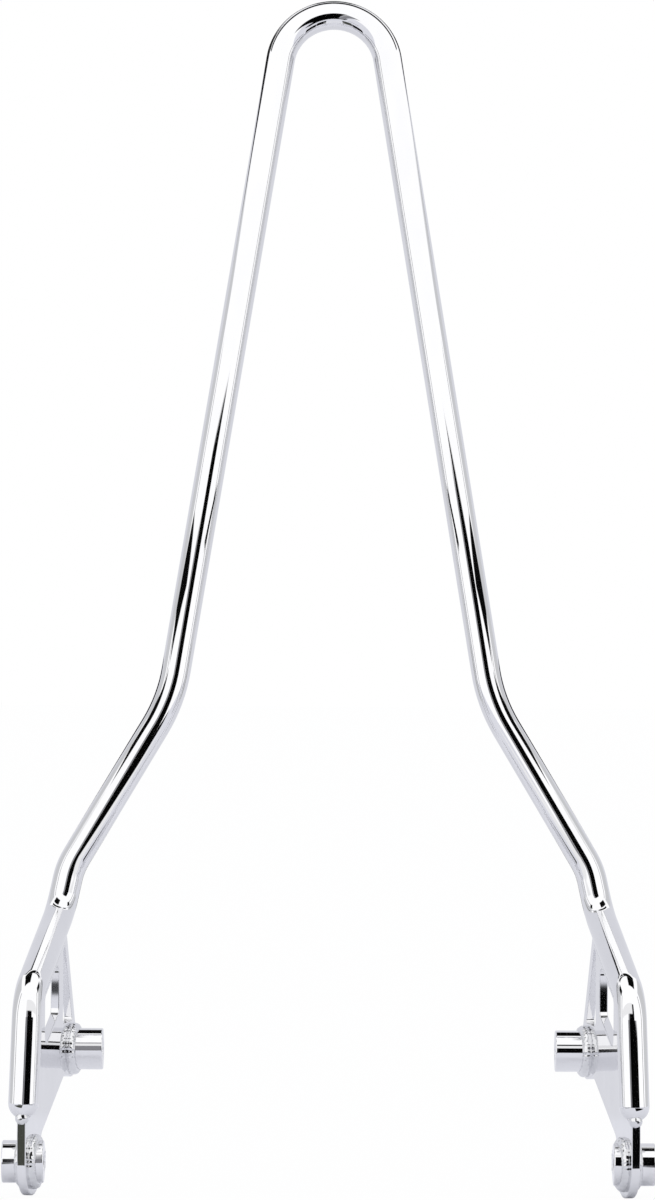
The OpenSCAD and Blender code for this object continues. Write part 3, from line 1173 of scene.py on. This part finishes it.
@dataclass(frozen=True)
class EndWeld:
    """The weld that closes the notch between the bar's rounded end and the front edge of the plate."""

    plate: SidePlate
    radius: float = 3.6
    set_in: float = 1.4
    raise_z: float = 0.7
    unevenness: float = 0.3
    lumps: float = 2.2
    side_seed: float = 4.0
    around: int = 48
    rows: int = 24

    def build(self, side: Side, material: bpy.types.Material) -> bpy.types.Object:
        """Builds the weld as an uneven ball.

        Args:
            side: The side of the machine.
            material: The weld's finish.

        Returns:
            The new object.
        """
        centre = self.plate.bar.side.point(
            self.set_in - self.plate.lower_lug, self.plate.end.y - self.plate.bar.radius + self.raise_z
        )

        def skin(way: Vector) -> Vector:
            """Returns the ball's surface in a direction."""
            rough = noise.noise(way * self.lumps + Vector((0, 0, self.side_seed * side.value)))
            return centre + way * (self.radius + self.unevenness * rough)

        rings = []
        for row in range(1, self.rows):
            a = math.pi * row / self.rows
            ring = []
            for i in range(self.around):
                t = math.tau * i / self.around
                way = Vector((math.sin(a) * math.cos(t), math.sin(a) * math.sin(t), -math.cos(a)))
                ring.append((skin(way), Vector()))
            rings.append(ring)
        shell = Shell()
        numbers = shell.loft(rings, looped=False)
        for ring, way in ((numbers[0], Vector((0, 0, -1))), (numbers[-1], Vector((0, 0, 1)))):
            shell.close(ring, skin(way), Vector())
        name = f"{side.word}_end_weld"
        return shell.piece(f"{name}_bead", side, material, Slot.WELD.value, [name], own_normals=False)


@dataclass(frozen=True)
class Card:
    """A flat card of the studio, in metres, that only reflections see.

    It spans from low to high and is flat along one axis. Its edges fade over the softness.
    """

    name: str
    low: Spot
    high: Spot
    colour: str
    softness: float

    def band(self, tree: Tree, value: Socket, low: float, high: float) -> Socket:
        """Adds a value that is 1 between two edges and fades to 0 at both.

        Args:
            tree: The card's node tree.
            value: A coordinate, in metres.
            low: The lower edge.
            high: The upper edge.

        Returns:
            The new value.
        """
        rising, falling = (
            add_node(
                tree,
                "ShaderNodeMapRange",
                {"interpolation_type": "SMOOTHSTEP", "From Min": edge, "From Max": edge + fade},
                {"Value": value},
            ).outputs[0]
            for edge, fade in ((low, self.softness), (high, -self.softness))
        )
        both = add_node(tree, "ShaderNodeMath", {"operation": "MULTIPLY"}, {0: rising, 1: falling})
        return both.outputs[0]

    def material(self, u: int, v: int) -> bpy.types.Material:
        """Builds the card's glow, which fades out at its edges along the axes u and v.

        Args:
            u: Number of the first axis in the card's plane.
            v: Number of the second one.

        Returns:
            The new material.
        """
        made = new_material(self.name)
        tree = made.node_tree
        place = add_node(tree, "ShaderNodeTexCoord")
        axes = add_node(tree, "ShaderNodeSeparateXYZ", {}, {0: place.outputs["Object"]})
        bands = (self.band(tree, axes.outputs[axis], self.low[axis], self.high[axis]) for axis in (u, v))
        solid = add_node(tree, "ShaderNodeMath", {"operation": "MULTIPLY"}, dict(enumerate(bands)))
        clear = add_node(tree, "ShaderNodeBsdfTransparent")
        glow = add_node(tree, "ShaderNodeEmission", {"Color": linear(self.colour)})
        overlay(tree, solid.outputs[0], clear, glow)
        return made

    def build(self) -> None:
        """Stands the card in its place."""
        low, high = Vector(self.low), Vector(self.high)
        flat = min(range(3), key=lambda axis: high[axis] - low[axis])
        u, v = (axis for axis in range(3) if axis != flat)
        corners = []
        for at_u, at_v in ((low, low), (high, low), (high, high), (low, high)):
            corner = low.copy()
            corner[u], corner[v] = at_u[u], at_v[v]
            corners.append(corner)
        mesh = bpy.data.meshes.new(self.name)
        mesh.from_pydata(corners, [], [(0, 1, 2, 3)])
        mesh.materials.append(self.material(u, v))
        card = new_object(self.name, mesh)
        card.visible_camera = False
        card.visible_diffuse = False
        card.visible_shadow = False


def pair(name: str, low: Spot, high: Spot, colour: str, softness: float) -> tuple[Card, Card]:
    """Makes the same card on both sides from the place of the right-hand one.

    Args:
        name: Their name, without the side.
        low: Lowest corner of the right-hand card.
        high: Its highest corner.
        colour: Their colour, as hex.
        softness: Width over which their edges fade.

    Returns:
        The left-hand card and the right-hand one.
    """
    left = Card(f"left_{name}", (-high[0], *low[1:]), (-low[0], *high[1:]), colour, softness)
    return left, Card(f"right_{name}", low, high, colour, softness)


@dataclass(frozen=True)
class Viewpoint:
    """The photograph's camera: far away and level, with a long lens. Metres, degrees and millimetres."""

    place: Spot = (-0.0021, -2.611, 0.294)
    roll: float = 0.3
    lens: float = 150.0
    sensor: float = 36.0

    def build(self) -> None:
        """Sets up the camera, looking along +Y."""
        data = bpy.data.cameras.new("camera")
        data.lens = self.lens
        data.sensor_width = self.sensor
        camera = new_object("camera", data)
        camera.matrix_world = (
            Matrix.Translation(self.place)
            @ Matrix.Rotation(math.radians(90), 4, "X")
            @ Matrix.Rotation(math.radians(self.roll), 4, "Z")
        )
        bpy.context.scene.camera = camera


@dataclass(frozen=True)
class Studio:
    """A white tent with a pale backdrop, a matt white floor and black, grey and white cards, in metres."""

    tent_strength: float = 1.22
    floor_z: float = -0.0178
    floor_size: float = 12.0
    floor_glow: float = 0.97
    viewpoint: Viewpoint = Viewpoint()
    walls: tuple[tuple[float, str], ...] = (
        (-1.0, "#FFFFFF"),
        (0.50, "#FFFFFF"),
        (0.70, "#E4E4E7"),
    )
    cards: tuple[Card, ...] = (
        # Upright, 0.74 m in front, where the camera looks through them.
        Card("black_card", (-0.10, -0.74, -0.01), (0.43, -0.74, 0.80), "#050505", 0.03),
        Card("grey_flag", (-0.22, -0.742, -0.01), (-0.08, -0.742, 0.75), "#8E8E92", 0.03),
        Card("low_card", (-0.26, -0.745, -0.02), (0.75, -0.745, 0.27), "#060606", 0.02),
        Card("left_low", (-0.75, -0.746, -0.0175), (-0.35, -0.746, 0.03), "#3C3D3F", 0.01),
        # Flat, just above the floor in front.
        Card("table_front", (0.17, -0.48, -0.016), (0.42, -0.10, -0.016), "#060606", 0.01),
        Card("table_front_left", (-0.42, -0.48, -0.016), (-0.17, -0.10, -0.016), "#4A4C46", 0.01),
        # Upright and white, 0.1 m in front and a little above the toe bends.
        Card("bounce", (-0.17, -0.10, 0.118), (0.17, -0.10, 0.178), "#FFFFFF", 0.006),
        # Upright at the sides, level with the part and behind it, then a little in front of it.
        *pair("wall", (1.0, -0.02, -0.01), (1.0, 1.3, 0.95), "#D8D9DB", 0.05),
        *pair("post", (1.0, -0.24, -0.01), (1.0, -0.16, 0.95), "#6E6E70", 0.02),
        # Upright behind the backdrop, from its upper edge, and then overhead behind the loop.
        Card("gap", (-0.60, 0.43, 0.62), (0.30, 0.43, 0.79), "#0A0A0A", 0.03),
        Card("gap_left", (-0.60, 0.43, 0.77), (-0.24, 0.43, 0.92), "#0A0A0A", 0.01),
        Card("gap_middle", (-0.07, 0.43, 0.77), (0.07, 0.43, 0.92), "#0A0A0A", 0.01),
        Card("top_gap", (-0.65, 0.218, 0.919), (0.60, 0.38, 0.919), "#0A0A0A", 0.02),
        # Overhead, above the side plates and out from them.
        *pair("canopy", (0.146, -0.05, 0.38), (0.32, 0.085, 0.38), "#0A0A0A", 0.01),
        # Upright behind the ankle bends.
        *pair("fin", (0.110, 0.14, 0.118), (0.152, 0.14, 0.27), "#0A0A0A", 0.004),
        # The pale backdrop and the grey batten along its upper edge.
        Card("rail", (-0.42, 0.315, 0.608), (0.42, 0.315, 0.624), "#8C8C92", 0.005),
        Card("backdrop", (-0.46, 0.32, -0.0178), (0.46, 0.32, 0.620), "#E5E6EC", 0.01),
    )

    def tent(self, tree: Tree) -> Socket:
        """Adds the colour of the tent's walls, which depends on how far back a direction points.

        Args:
            tree: The world's node tree.

        Returns:
            The colour.
        """
        place = add_node(tree, "ShaderNodeTexCoord")
        axes = add_node(tree, "ShaderNodeSeparateXYZ", {}, {0: place.outputs["Generated"]})
        share = add_node(
            tree, "ShaderNodeMapRange", {"From Min": -1.0, "From Max": 1.0}, {"Value": axes.outputs["Y"]}
        )
        colours = add_node(tree, "ShaderNodeValToRGB", {}, {"Fac": share.outputs[0]})
        ramp = colours.color_ramp
        for back, colour in self.walls:
            stop = ramp.elements[0] if back <= -1 else ramp.elements.new((back + 1) / 2)
            stop.color = linear(colour)
        ramp.elements.remove(ramp.elements[-1])
        return colours.outputs[0]

    def world(self) -> None:
        """Makes the surroundings: white to the camera and, to the metal, the tent's walls."""
        world = bpy.data.worlds.new("tent")
        world.use_nodes = True
        tree = world.node_tree
        tree.nodes.clear()
        rays = add_node(tree, "ShaderNodeLightPath")
        seen = rays.outputs["Is Camera Ray"]
        white = {"data_type": "RGBA", 7: linear("#FFFFFF")}
        shown = add_node(tree, "ShaderNodeMix", white, {0: seen, 6: self.tent(tree)})
        strengths = {"data_type": "FLOAT", 2: self.tent_strength, 3: 1.0}
        level = add_node(tree, "ShaderNodeMix", strengths, {0: seen})
        air = add_node(
            tree, "ShaderNodeBackground", {}, {"Color": shown.outputs[2], "Strength": level.outputs[0]}
        )
        add_node(tree, "ShaderNodeOutputWorld", {}, {"Surface": air.outputs[0]})
        bpy.context.scene.world = world

    def floor(self) -> None:
        """Lays a floor that is white to the camera and keeps a faint shadow."""
        mesh = bpy.data.meshes.new("floor")
        h = self.floor_size
        mesh.from_pydata([(-h, -h, 0), (h, -h, 0), (h, h, 0), (-h, h, 0)], [], [(0, 1, 2, 3)])
        floor = new_object("floor", mesh)
        floor.location.z = self.floor_z
        material = new_material("matt white floor paint")
        tree = material.node_tree
        rays = add_node(tree, "ShaderNodeLightPath")
        matt = add_node(tree, "ShaderNodeBsdfDiffuse", {"Color": linear("#DCDDE3")})
        glow = add_node(tree, "ShaderNodeEmission", {"Color": linear("#FFFFFF"), "Strength": 1.0})
        share = add_node(
            tree,
            "ShaderNodeMath",
            {"operation": "MULTIPLY", 1: self.floor_glow},
            {0: rays.outputs["Is Camera Ray"]},
        )
        overlay(tree, share.outputs[0], matt, glow)
        mesh.materials.append(material)

    def build(self) -> None:
        """Sets up the whole studio."""
        self.world()
        self.floor()
        for card in self.cards:
            card.build()
        self.viewpoint.build()
        bpy.context.scene.view_settings.view_transform = "Standard"


def build_bar() -> None:
    """Builds every piece of the sissy bar."""
    buffed = BuffedChrome().material()
    ground = GroundChrome().material()
    turned_steel = TurnedChrome().material()
    weld = WeldChrome().material()
    frame = SideFrame()
    bar = HoopBar(frame)
    plate = SidePlate(bar)
    upper, lower = plate.upper_bolt, (0.0, 0.0)
    bar.build(buffed)
    for side in Side:
        plate.build(side, ground)
        Bushing("upper", frame, upper, 19.2, 5.8).build(side, turned_steel)
        Bushing("lower", frame, lower, 7.8, 14.0).build(side, turned_steel)
        RingBead("upper", Face.INNER, frame, upper, 2.6, 4.3).build(side, weld)
        RingBead("upper", Face.OUTER, frame, upper, 2.2, 2.2).build(side, weld)
        RingBead("lower", Face.INNER, frame, lower, 3.2, 3.6).build(side, weld)
        RingBead("lower", Face.OUTER, frame, lower, 2.8, 2.8).build(side, weld)
        for face in Face:
            SeamBead(plate, face).build(side, weld)
        EndWeld(plate).build(side, weld)


def main() -> None:
    """Loads the frame, builds the studio and the pieces, and logs each piece's point and face counts."""
    logging.basicConfig(level=logging.INFO, format="%(name)s: %(message)s")
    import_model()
    Studio().build()
    build_bar()


if __name__ == "__main__":
    main()
